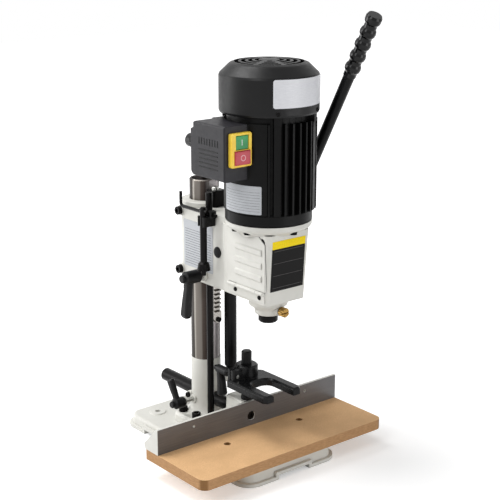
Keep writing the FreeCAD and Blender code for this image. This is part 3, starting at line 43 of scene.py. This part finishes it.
# ---------------------------------------------------------------- camera, light and floor
CAMERA_PLACE = Vector((-1.2744, -1.6262, 0.9381))
CAMERA_YAW = 39.18                    # degrees from +Y towards +X
CAMERA_DROP = 15.76                   # degrees below the horizon
CAMERA_LENS = 89.3                    # mm on a sensor 36 mm wide
SENSOR = 36.0
CLIP_NEAR, CLIP_FAR = 0.05, 50.0
AIM = Vector((0.0, -0.05, 0.30))      # what the lamps point at
FLOOR_HALF = 6.0
FLOOR_NEAR, FLOOR_FAR = 0.30, 1.30    # distances between which the floor fades to white
FLOOR_GREY = 0.86
FLOOR_ROUGHNESS = 0.9
FLOOR_GLOW = 0.36                     # the floor's own light under the machine; 1 beyond FLOOR_FAR
AMBIENT = 0.30                        # sky light on dull surfaces
LAMPS = [                             # name, place, side, watts
    ("key_lamp", (-2.1, -0.8, 2.0), 1.1, 19.0),
    ("side_lamp", (-1.6, 2.0, 0.9), 1.2, 26.0),
    ("fill_lamp", (0.7, -2.4, 0.3), 1.4, 22.0),
    ("top_lamp", (-0.7, 0.8, 2.4), 1.3, 42.0),
]


def make_camera():
    data = bpy.data.cameras.new("camera")
    data.sensor_width = SENSOR
    data.lens = CAMERA_LENS
    data.clip_start = CLIP_NEAR
    data.clip_end = CLIP_FAR
    camera = bpy.data.objects.new("camera", data)
    camera.location = CAMERA_PLACE
    camera.rotation_euler = (math.radians(90 - CAMERA_DROP), 0, math.radians(-CAMERA_YAW))
    bpy.context.scene.collection.objects.link(camera)
    bpy.context.scene.camera = camera


def make_lamps():
    for name, place, side, watts in LAMPS:
        data = bpy.data.lights.new(name, "AREA")
        data.shape = "SQUARE"
        data.size = side
        data.energy = watts
        lamp = bpy.data.objects.new(name, data)
        lamp.location = place
        lamp.rotation_euler = (AIM - Vector(place)).to_track_quat("-Z", "Y").to_euler()
        bpy.context.scene.collection.objects.link(lamp)


def seen_directly(tree):
    """1 for camera, mirror and glass rays, and 0 for the rays that light dull surfaces."""
    path = tree.nodes.new("ShaderNodeLightPath")
    total = path.outputs["Is Camera Ray"]
    for name in ("Is Glossy Ray", "Is Transmission Ray"):
        adder = tree.nodes.new("ShaderNodeMath")
        adder.operation = "MAXIMUM"
        tree.links.new(total, adder.inputs[0])
        tree.links.new(path.outputs[name], adder.inputs[1])
        total = adder.outputs[0]
    return total


def make_world():
    world = bpy.data.worlds.new("studio")
    bpy.context.scene.world = world
    world.use_nodes = True
    tree = world.node_tree
    background = tree.nodes["Background"]
    background.inputs["Color"].default_value = (1, 1, 1, 1)
    strength = tree.nodes.new("ShaderNodeMapRange")
    strength.inputs["To Min"].default_value = AMBIENT
    strength.inputs["To Max"].default_value = 1.0
    tree.links.new(seen_directly(tree), strength.inputs["Value"])
    tree.links.new(strength.outputs[0], background.inputs["Strength"])


def make_floor():
    material = bpy.data.materials.new("pale_floor")
    material.use_nodes = True
    tree = material.node_tree
    shader = tree.nodes["Principled BSDF"]
    shader.inputs["Base Color"].default_value = (FLOOR_GREY, FLOOR_GREY, FLOOR_GREY, 1)
    shader.inputs["Roughness"].default_value = FLOOR_ROUGHNESS
    shader.inputs["Specular IOR Level"].default_value = 0.0
    shader.inputs["Emission Color"].default_value = (1, 1, 1, 1)
    where = tree.nodes.new("ShaderNodeTexCoord")
    reach = tree.nodes.new("ShaderNodeVectorMath")
    reach.operation = "LENGTH"
    tree.links.new(where.outputs["Object"], reach.inputs[0])
    fade = tree.nodes.new("ShaderNodeMapRange")
    fade.inputs["From Min"].default_value = FLOOR_NEAR
    fade.inputs["From Max"].default_value = FLOOR_FAR
    fade.inputs["To Min"].default_value = FLOOR_GLOW
    fade.inputs["To Max"].default_value = 1.0
    tree.links.new(reach.outputs["Value"], fade.inputs["Value"])
    lift = tree.nodes.new("ShaderNodeMath")
    lift.operation = "MULTIPLY"
    tree.links.new(fade.outputs[0], lift.inputs[1])
    tree.links.new(seen_directly(tree), lift.inputs[0])
    tree.links.new(lift.outputs[0], shader.inputs["Emission Strength"])
    mesh = bpy.data.meshes.new("floor")
    corners = [(-1, -1), (1, -1), (1, 1), (-1, 1)]
    mesh.from_pydata([(x * FLOOR_HALF, y * FLOOR_HALF, 0) for x, y in corners], [], [(0, 1, 2, 3)])
    mesh.materials.append(material)
    floor = bpy.data.objects.new("floor", mesh)
    bpy.context.scene.collection.objects.link(floor)


# ---------------------------------------------------------------- material kit
def tone(red, green, blue):
    """A display colour, 0 to 255 each, as the linear colour that shaders take."""
    parts = [v / 255 for v in (red, green, blue)]
    return tuple(p / 12.92 if p <= 0.04045 else ((p + 0.055) / 1.055) ** 2.4 for p in parts) + (1.0,)


class Finish:
    """A material under construction: each call adds a node and gives back its output."""

    def __init__(self, name, **sockets):
        self.material = bpy.data.materials.new(name)
        self.material.use_nodes = True
        self.tree = self.material.node_tree
        self.shader = self.tree.nodes["Principled BSDF"]
        self.set(self.shader, sockets)

    def set(self, node, sockets):
        for key, value in sockets.items():
            socket = node.inputs[key.replace("_", " ")] if isinstance(key, str) else node.inputs[key]
            if isinstance(value, bpy.types.NodeSocket):
                self.tree.links.new(value, socket)
            else:
                socket.default_value = value

    def add(self, kind, sockets=None, output=0, **settings):
        node = self.tree.nodes.new("ShaderNode" + kind)
        for key, value in settings.items():
            setattr(node, key, value)
        self.set(node, sockets or {})
        return node.outputs[output]

    def place(self, stretch=(1, 1, 1)):
        """Where a point is on its body, in metres, squeezed by stretch."""
        where = self.add("TexCoord", output="Object")
        return self.add("Mapping", {"Vector": where, "Scale": stretch})

    def noise(self, scale, detail=3.0, rough=0.55, stretch=(1, 1, 1)):
        return self.add("TexNoise", {"Vector": self.place(stretch), "Scale": scale,
                                     "Detail": detail, "Roughness": rough})

    def spread(self, value, low, high, new_low=0.0, new_high=1.0):
        """Takes value from the band low..high to new_low..new_high, and clips it there."""
        return self.add("MapRange", {"Value": value, "From_Min": low, "From_Max": high,
                                     "To_Min": new_low, "To_Max": new_high})

    def blend(self, share, first, second):
        return self.add("Mix", {0: share, 6: first, 7: second}, output=2, data_type="RGBA")

    def ramp(self, value, stops):
        """A row of colours, each at its own place from 0 to 1."""
        colour = self.add("ValToRGB", {"Fac": value})
        band = colour.node.color_ramp
        while len(band.elements) < len(stops):
            band.elements.new(1.0)
        for element, (place, shade) in zip(band.elements, stops):
            element.position = place
            element.color = shade
        return colour

    def facing(self, axis):
        """How far the surface faces along an axis of its body, from -1 to 1."""
        normal = self.add("TexCoord", output="Normal")
        return self.add("SeparateXYZ", {"Vector": normal}, output=axis)

    def paint_seam_shade(self, colour, seam_shade, reach=0.003):
        """Painted shade in seams, corners and round the feet of raised parts: the colour turns to the
        shade colour where little open sky reaches.
        """
        sky = self.add("AmbientOcclusion", {"Distance": reach}, output=1, samples=6)
        return self.blend(self.spread(sky, 0.15, 0.75), seam_shade, colour)

    def relief(self, height, depth, strength=1.0, edge=0.0006):
        """Bumps of a depth in metres over edges that are broken by a small radius."""
        broken = self.add("Bevel", {"Radius": edge}, samples=4)
        bump = self.add("Bump", {"Height": height, "Distance": depth, "Strength": strength,
                                 "Normal": broken})
        self.set(self.shader, {"Normal": bump})

    def colour(self, value):
        self.set(self.shader, {"Base_Color": value})

    def roughness(self, value):
        self.set(self.shader, {"Roughness": value})


# Painted shade colour for seams, corners and the feet of raised parts.
SEAM_SHADE_TONE = tone(112, 111, 108)


def cast_paint(name, light, shade, gloss_low=0.34, gloss_high=0.5):
    """Enamel over a sand casting: soft waves, fine pits and a slightly uneven gloss."""
    f = Finish(name, Specular_IOR_Level=0.35)
    cloud = f.noise(14, 4)
    # Painted shade darkens the paint in seams and corners.
    f.colour(f.paint_seam_shade(f.blend(f.spread(cloud, 0.35, 0.65), shade, light), SEAM_SHADE_TONE))
    f.roughness(f.spread(f.noise(60, 2), 0.3, 0.7, gloss_low, gloss_high))
    f.relief(f.noise(420, 4, 0.6), 0.00022, 0.5, 0.0009)
    return f.material


def moulded(name, light, shade, gloss, grain=900.0, depth=0.00006, specular=0.3, edge=0.0004,
            seam_shade=None):
    """Moulded plastic or a powder coat: a fine even grain."""
    f = Finish(name, Specular_IOR_Level=specular)
    coat = f.blend(f.spread(f.noise(40, 3), 0.35, 0.65), shade, light)
    # When a seam shade colour is given, seams and corners take painted shade.
    f.colour(f.paint_seam_shade(coat, seam_shade) if seam_shade else coat)
    f.roughness(f.spread(f.noise(120, 2), 0.3, 0.7, gloss - 0.05, gloss + 0.06))
    f.relief(f.noise(grain, 2), depth, 0.6, edge)
    return f.material


def bare_metal(name, light, shade, gloss, streak=(1, 1, 1), scale=300.0, depth=0.00003):
    """Machined metal: marks that run one way, with tone and gloss that follow them."""
    f = Finish(name, Metallic=1.0)
    marks = f.noise(scale, 3, 0.6, streak)
    f.colour(f.blend(f.spread(marks, 0.3, 0.7), shade, light))
    f.roughness(f.spread(marks, 0.3, 0.7, gloss + 0.08, gloss - 0.06))
    f.relief(marks, depth, 0.4, 0.0003)
    return f.material


# Painted reflections down the tube, as light and dark bands by the way the surface faces: how far
# round they lie, from front (0) to back (1), and their tone.
COLUMN_REFLECTION_BANDS = [
    (0.0, tone(176, 171, 172)), (0.035, tone(168, 162, 162)), (0.075, tone(52, 43, 40)),
    (0.17, tone(60, 51, 46)), (0.21, tone(104, 99, 94)), (0.39, tone(112, 106, 100)),
    (0.42, tone(158, 154, 148)), (0.46, tone(146, 141, 134)), (0.49, tone(30, 24, 20)),
    (0.66, tone(30, 24, 20)), (0.72, tone(78, 74, 70)), (1.0, tone(108, 103, 98)),
]


def column_steel():
    """Ground tube: fine rings round it, and painted reflections down it as light and dark bands set by
    the way the surface faces.
    """
    f = Finish("ground_column", Metallic=0.8, Anisotropic=0.4)
    rings = f.noise(40, 2, 0.5, (1, 1, 60))
    streaks = f.noise(95, 3, 0.6, (1, 1, 0.03))
    round_tube = f.spread(f.facing(1), -1.0, 1.0)
    wander = f.spread(streaks, 0.3, 0.7, -0.02, 0.02)
    reflection_bands = f.ramp(f.add("Math", {0: round_tube, 1: wander}, operation="ADD"), COLUMN_REFLECTION_BANDS)
    f.colour(f.blend(f.spread(rings, 0.3, 0.7, 0.0, 0.2), reflection_bands, tone(92, 86, 80)))
    f.roughness(f.spread(rings, 0.3, 0.7, 0.34, 0.44))
    f.relief(rings, 0.00001, 0.3, 0.0004)
    return f.material


def fence_skin():
    """Cast fence: its front is milled bare, and the rest is painted."""
    f = Finish("milled_fence")
    face = f.spread(f.facing(1), -0.98, -0.93, 1.0, 0.0)
    passes = f.noise(420, 2, 0.5, (0.04, 1, 3))
    patch = f.spread(f.noise(7, 3, 0.5), 0.3, 0.7)
    dull = f.blend(patch, tone(82, 81, 82), tone(99, 99, 101))
    metal = f.blend(f.spread(passes, 0.3, 0.7, 0.0, 0.4), dull, tone(124, 120, 118))
    cloud = f.spread(f.noise(14, 4), 0.35, 0.65)
    paint = f.blend(cloud, tone(208, 207, 200), tone(217, 216, 210))
    f.colour(f.blend(face, paint, metal))
    f.set(f.shader, {"Metallic": f.spread(face, 0, 1, 0.0, 0.5)})
    f.roughness(f.spread(face, 0, 1, 0.42, 0.38))
    f.relief(passes, 0.00004, 0.5, 0.0005)
    return f.material


def board_fibre():
    """Fibre board: speckled faces, layered brown edges, and corners that the saw has scorched."""
    f = Finish("fibre_board", Specular_IOR_Level=0.25)
    speckle = f.spread(f.noise(520, 4, 0.75), 0.34, 0.66)
    cloud = f.spread(f.noise(26, 5, 0.65), 0.32, 0.68)
    face = f.blend(speckle, tone(196, 150, 102), tone(250, 208, 158))
    face = f.blend(f.spread(cloud, 0, 1, 0.0, 0.75), face, tone(209, 167, 121))
    layers = f.spread(f.noise(700, 3, 0.7, (0.15, 0.15, 1)), 0.3, 0.7)
    edge = f.blend(layers, tone(158, 116, 76), tone(194, 152, 108))
    across = f.add("Math", {0: f.facing(0), 1: f.facing(1)}, operation="MULTIPLY")
    corner = f.spread(f.add("Math", {0: across}, operation="ABSOLUTE"), 0.2, 0.4)
    edge = f.blend(corner, edge, tone(136, 98, 58))
    upright = f.spread(f.add("Math", {0: f.facing(2)}, operation="ABSOLUTE"), 0.4, 0.8, 1.0, 0.0)
    f.colour(f.blend(upright, face, edge))
    f.roughness(f.spread(speckle, 0, 1, 0.55, 0.72))
    f.relief(speckle, 0.00006, 0.5, 0.0007)
    return f.material


def grip_rubber():
    f = Finish("moulded_rubber", Specular_IOR_Level=0.2)
    pores = f.noise(1500, 2)
    f.colour(f.blend(f.spread(f.noise(30, 3), 0.3, 0.7), tone(5, 5, 6), tone(9, 9, 10)))
    f.roughness(f.spread(pores, 0.3, 0.7, 0.1, 0.16))
    f.relief(pores, 0.00005, 0.6, 0.0008)
    return f.material


def plate_metal(name, light, shade):
    """Printed aluminium plate: brushed along its length, under a thin lacquer."""
    f = Finish(name, Specular_IOR_Level=0.4)
    brush = f.spread(f.noise(120, 3, 0.6, (1, 1, 12)), 0.3, 0.7)
    f.colour(f.blend(brush, shade, light))
    f.roughness(f.spread(brush, 0, 1, 0.34, 0.44))
    f.relief(brush, 0.00001, 0.3, 0.0002)
    return f.material


def printed_ink(name, colour, gloss=0.45):
    """Printed ink: nearly even, thinning a little where the screen left it."""
    f = Finish(name, Specular_IOR_Level=0.1)
    wear = f.spread(f.noise(500, 3, 0.6), 0.25, 0.75, 0.82, 1.05)
    f.colour(f.add("Mix", {0: 1.0, 6: colour, 7: wear}, output=2, data_type="RGBA",
                   blend_type="MULTIPLY"))
    f.roughness(f.spread(wear, 0.82, 1.05, gloss + 0.1, gloss))
    return f.material


PAINT = cast_paint("cream_casting", tone(217, 216, 210), tone(208, 207, 200))
PAINT_SHEET = moulded("cream_sheet", tone(216, 215, 209), tone(210, 209, 203), 0.38, 700, 0.00008,
                      0.3, 0.0009, SEAM_SHADE_TONE)
FENCE = fence_skin()
COLUMN = column_steel()
BRIGHT = bare_metal("bright_steel", tone(176, 173, 168), tone(132, 128, 124), 0.26, (1, 1, 8))
BLACK_STEEL = bare_metal("black_oxide", tone(30, 29, 29), tone(19, 19, 19), 0.38, (1, 1, 6))
ENAMEL = moulded("black_enamel", tone(13, 13, 14), tone(8, 8, 9), 0.36, 600, 0.00007, 0.12)
FORK = moulded("black_casting", tone(13, 13, 14), tone(8, 8, 9), 0.27, 420, 0.00016, 0.16, 0.0014)
MOTOR = moulded("motor_enamel", tone(9, 9, 9), tone(6, 6, 6), 0.38, 650, 0.00006, 0.1)
SHEET = moulded("black_sheet", tone(10, 10, 11), tone(6, 6, 7), 0.4, 700, 0.00005, 0.2, 0.001)
PLASTIC = moulded("black_plastic", tone(14, 14, 15), tone(9, 9, 10), 0.36, 1100, 0.00008, 0.17, 0.0011)
BOX = moulded("switch_housing", tone(35, 34, 38), tone(28, 27, 31), 0.44, 1100, 0.00008, 0.22, 0.0014)
RUBBER = grip_rubber()
BOARD = board_fibre()
BRASS = bare_metal("brass", tone(176, 142, 80), tone(112, 84, 42), 0.22, (1, 6, 1))
ZINC = bare_metal("zinc_plate", tone(196, 196, 192), tone(160, 160, 155), 0.28)
BRONZE = bare_metal("bronze", tone(186, 142, 92), tone(150, 108, 66), 0.32)
YELLOW = moulded("switch_yellow", tone(255, 220, 84), tone(250, 206, 62), 0.36, 900, 0.00004, 0.4)
GREEN = moulded("start_green", tone(58, 160, 92), tone(40, 134, 74), 0.32, 900, 0.00004, 0.4)
RED = moulded("stop_red", tone(198, 72, 84), tone(180, 58, 70), 0.32, 900, 0.00004, 0.4)
PLATE = plate_metal("pale_plate", tone(190, 193, 197), tone(172, 175, 180))
PLATE_WHITE = plate_metal("white_plate", tone(226, 227, 231), tone(212, 213, 218))
INK = printed_ink("dark_ink", tone(62, 64, 68))
INK_BLACK = printed_ink("black_ink", tone(14, 13, 13))
INK_GREY = printed_ink("grey_ink", tone(92, 90, 90))
INK_YELLOW = printed_ink("yellow_ink", tone(255, 224, 34))
INK_WHITE = printed_ink("white_ink", tone(236, 238, 238))
INK_PINK = printed_ink("pale_ink", tone(240, 196, 200))

WEARS = [
    (PAINT, ("base_casting", "column_holder", "head_casting")),
    (FENCE, ("fence_casting",)),
    (PAINT_SHEET, ("door_left", "door_hinge")),
    (BOARD, ("table_board",)),
    (COLUMN, ("column_tube",)),
    (BRIGHT, ("feed_rack", "gas_rod", "feed_shaft", "motor_shaft", "motor_bearings", "drill_chuck",
              "feed_gear")),
    (ZINC, ("stop_screw", "fence_lock_stud", "fork_lock_stud", "depth_lock_stud",
            "gas_nut_upper", "gas_nut_lower")),
    (BLACK_STEEL, ("holder_bolts", "gib_screws", "motor_bolts", "cowl_screws", "hinge_screws",
                   "fence_bar_screw", "table_screws", "rack_screws", "rack_stop", "hex_key",
                   "chuck_key", "depth_rod", "fence_bar", "chisel_socket")),
    (ENAMEL, ("gas_cylinder", "hold_down_post", "lever_rod", "lever_hub")),
    (FORK, ("hold_down_fork",)),
    (MOTOR, ("motor_end_bell", "motor_body")),
    (SHEET, ("fan_cowl",)),
    (PLASTIC, ("fence_lock_handle", "fork_lock_handle", "depth_lock_handle", "cable_gland",
               "key_clip", "cover_plug", "cooling_fan")),
    (BOX, ("switch_box_cover",)),
    (RUBBER, ("lever_grip",)),
    (YELLOW, ("switch_plate",)),
    (GREEN, ("start_button",)),
    (RED, ("stop_button",)),
    (BRASS, ("chisel_screw",)),
    (BRONZE, ("shaft_bushes",)),
]


def dress_nodes():
    for material, names in WEARS:
        for name in names:
            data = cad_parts[name].data
            data.materials.clear()
            data.materials.append(material)


# ---------------------------------------------------------------- thin plates and markings
ARC_STEPS = 5
STRIP = 4 * MM                        # a plate is cut into strips this wide, so that it can bend
PLATE_THICK = 0.5 * MM
PRINT_THICK = 0.08 * MM               # ink on a plate
SIGN_THICK = 0.15 * MM                # ink on a button
SUNK = -0.1 * MM                      # trim that starts a little inside the surface it lies on
RULE_MARGIN = 4 * MM                  # beside the ruled lines of the side and front plates


def rounded(u0, v0, u1, v1, radius):
    """Corners of a rectangle with round corners, anticlockwise."""
    points = []
    for cu, cv, start in ((u1 - radius, v1 - radius, 0), (u0 + radius, v1 - radius, 90),
                          (u0 + radius, v0 + radius, 180), (u1 - radius, v0 + radius, 270)):
        for step in range(ARC_STEPS + 1):
            turn = math.radians(start + 90 * step / ARC_STEPS)
            points.append((cu + radius * math.cos(turn), cv + radius * math.sin(turn)))
    return points


def ring(cu, cv, outer, inner, steps=28):
    """A flat ring as quads between two circles."""
    turns = [math.tau * k / steps for k in range(steps)]
    return [[(cu + r * math.cos(t), cv + r * math.sin(t)) for r, t in
             ((inner, a), (outer, a), (outer, b), (inner, b))]
            for a, b in zip(turns, turns[1:] + turns[:1])]


def panel(name, shapes, on, lift, thick, material, body, bend=False):
    """Flat shapes, as outlines in u and v, given a thickness and laid on a surface by on(u, v, w)."""
    mesh = bmesh.new()
    for outline in shapes:
        verts = [mesh.verts.new((u, v, lift)) for u, v in outline]
        mesh.faces.new(verts)
    bmesh.ops.remove_doubles(mesh, verts=mesh.verts, dist=1e-7)
    if bend:
        low = min(v.co.x for v in mesh.verts)
        high = max(v.co.x for v in mesh.verts)
        for step in range(1, int((high - low) / STRIP) + 1):
            bmesh.ops.bisect_plane(mesh, geom=mesh.verts[:] + mesh.edges[:] + mesh.faces[:],
                                   plane_co=(low + step * STRIP, 0, 0), plane_no=(1, 0, 0))
    extruded = bmesh.ops.extrude_face_region(mesh, geom=mesh.faces[:])
    for item in extruded["geom"]:
        if isinstance(item, bmesh.types.BMVert):
            item.co.z += thick
    bmesh.ops.recalc_face_normals(mesh, faces=mesh.faces)
    for vert in mesh.verts:
        vert.co = on(*vert.co)
    bmesh.ops.recalc_face_normals(mesh, faces=mesh.faces)
    data = bpy.data.meshes.new(name)
    mesh.to_mesh(data)
    mesh.free()
    data.materials.append(material)
    piece = bpy.data.objects.new(name, data)
    bpy.context.scene.collection.objects.link(piece)
    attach(piece, body)


def on_flat(origin, across, up):
    """A flat place: u runs across it, v up it and w out of it."""
    origin, across, up = Vector(origin), Vector(across), Vector(up)
    out = across.cross(up)
    return lambda u, v, w: origin + across * u + up * v + out * w


def on_round(axis_x, axis_y, radius, middle, low):
    """An upright cylinder's outside: u runs round it from the angle middle, v up it and w out of it.
    The angle is 0 at the front, -Y, and grows towards the right, +X."""
    def place(u, v, w):
        turn = math.radians(middle) + u / radius
        reach = radius + w
        return Vector((axis_x + reach * math.sin(turn), axis_y - reach * math.cos(turn), low + v))
    return place


def bars(u0, u1, rows, height, radius=0.0001):
    """One thin bar across for each row's height."""
    return [rounded(u0, v - height / 2, u1, v + height / 2, min(radius, height / 2.2)) for v in rows]


def steps(first, last, count):
    return [first + (last - first) * k / (count - 1) for k in range(count)]


MOTOR_X, MOTOR_Y = 0.0, -111 * MM
MOTOR_RADIUS = 73.5 * MM              # the motor's smooth side, under its rating plate
COWL_RADIUS = 81.4 * MM


def rating_plate():
    """Bare plate on the motor's smooth side, ruled like a form."""
    wide, tall, margin = 76 * MM, 46 * MM, 3 * MM
    on = on_round(MOTOR_X, MOTOR_Y, MOTOR_RADIUS, -78.5, 457 * MM)
    panel("rating_plate", [rounded(-wide / 2, 0, wide / 2, tall, 2 * MM)], on, 0.0, PLATE_THICK,
          PLATE, "head", bend=True)
    rules = bars(-wide / 2 + margin, wide / 2 - margin, steps(5 * MM, tall - 10 * MM, 8), 0.35 * MM)
    panel("rating_plate_rules", rules, on, PLATE_THICK, PRINT_THICK, INK, "head",
          bend=True)


def cowl_plate():
    """Bare pale plate round the front of the fan cowl."""
    wide, tall = 121.6 * MM, 44.5 * MM
    on = on_round(MOTOR_X, MOTOR_Y, COWL_RADIUS, 7.2, 628 * MM)
    panel("cowl_plate", [rounded(-wide / 2, 0, wide / 2, tall, 4 * MM)], on, 0.0, PLATE_THICK,
          PLATE_WHITE, "head", bend=True)


def side_plate():
    """Plate on the left of the head, ruled as a table."""
    low_y, high_y, low_z, high_z = -13 * MM, 69 * MM, 322 * MM, 405 * MM
    on = on_flat((-41 * MM, high_y, low_z), (0, -1, 0), (0, 0, 1))
    wide, tall = high_y - low_y, high_z - low_z
    panel("side_plate", [rounded(0, 0, wide, tall, 2 * MM)], on, 0.0, PLATE_THICK, PLATE, "head")
    rules = bars(RULE_MARGIN, wide - RULE_MARGIN, steps(6 * MM, tall - 16 * MM, 15), 0.6 * MM)
    panel("side_plate_rules", rules, on, PLATE_THICK, PRINT_THICK, INK, "head")


def front_plate():
    """Dark plate on the head's sloping front, with a plain yellow band and ruled lines."""
    low, high = Vector((0, -157, 300)) * MM, Vector((0, -165, 420)) * MM   # foot and top of the slope
    up = (high - low).normalized()
    foot = low + up * (24 * MM)
    on = on_flat(foot + Vector((-36 * MM, 0, 0)), (1, 0, 0), up)
    wide, tall, band = 70 * MM, 86 * MM, 13 * MM
    panel("front_plate", [rounded(0, 0, wide, tall - band, 0.4 * MM)], on, 0.0, PLATE_THICK,
          INK_BLACK, "head")
    panel("front_plate_band", [rounded(0, tall - band, wide, tall, 0.4 * MM)], on, 0.0, PLATE_THICK,
          INK_YELLOW, "head")
    lines = bars(RULE_MARGIN, wide - RULE_MARGIN, steps(6 * MM, tall - band - 4 * MM, 4), 0.6 * MM)
    panel("front_plate_rules", lines, on, PLATE_THICK, PRINT_THICK, INK_GREY, "head")


def switch_signs():
    """The bar on the start button and the ring on the stop button."""
    start_low, start_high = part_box("start_button")
    middle = (start_low + start_high) / 2
    on = on_flat((middle.x, start_low.y, middle.z), (1, 0, 0), (0, 0, 1))
    panel("start_sign", [rounded(-0.7 * MM, -4.5 * MM, 0.7 * MM, 4.5 * MM, 0.3 * MM)], on, 0.0,
          SIGN_THICK, INK_WHITE, "start_button")
    stop_low, stop_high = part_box("stop_button")
    middle = (stop_low + stop_high) / 2
    on = on_flat((middle.x, stop_low.y, middle.z), (1, 0, 0), (0, 0, 1))
    panel("stop_sign", ring(0, 0, 4.9 * MM, 3.7 * MM), on, 0.0, SIGN_THICK, INK_PINK,
          "stop_button")


def paint_door_corner_shade():
    """A black sheet as painted shade in the gap that the door's cut corner leaves in the head's side.
    """
    on = on_flat((-44.7 * MM, -140 * MM, 405 * MM), (0, -1, 0), (-0.025, 0, 1))
    shade_outline = [(15.1 * MM, 0.5 * MM), (15.5 * MM, 4.5 * MM), (12 * MM, 8.4 * MM), (7.6 * MM, 9 * MM),
           (6.5 * MM, 7.0 * MM)]
    # Black ink stands for the shade inside the gap.
    panel("door_corner_painted_shade", [shade_outline], on, SUNK, 0.4 * MM, INK_BLACK, "head")


def cover_ribs():
    """Raised bars moulded in the left face of the switch cover."""
    low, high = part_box("switch_box_cover")
    on = on_flat((low.x, high.y, low.z), (0, -1, 0), (0, 0, 1))
    uprights = [rounded(u, 53 * MM, u + 2.4 * MM, 64 * MM, 0.8 * MM)
                for u in steps(22 * MM, 70 * MM, 8)]
    lines = bars(22 * MM, 72 * MM, steps(17 * MM, 45 * MM, 5), 2.2 * MM, 0.8 * MM)
    # The bars take the darker black plastic rather than the housing's colour: painted shade on and
    # between them.
    panel("cover_ribs", uprights + lines, on, SUNK, 0.5 * MM, PLASTIC, "head")


# ---------------------------------------------------------------- the scene
make_camera()
make_lamps()
make_world()
make_floor()
dress_nodes()
rating_plate()
cowl_plate()
side_plate()
front_plate()
switch_signs()
paint_door_corner_shade()
cover_ribs()

scene = bpy.context.scene
scene.view_settings.view_transform = "Standard"
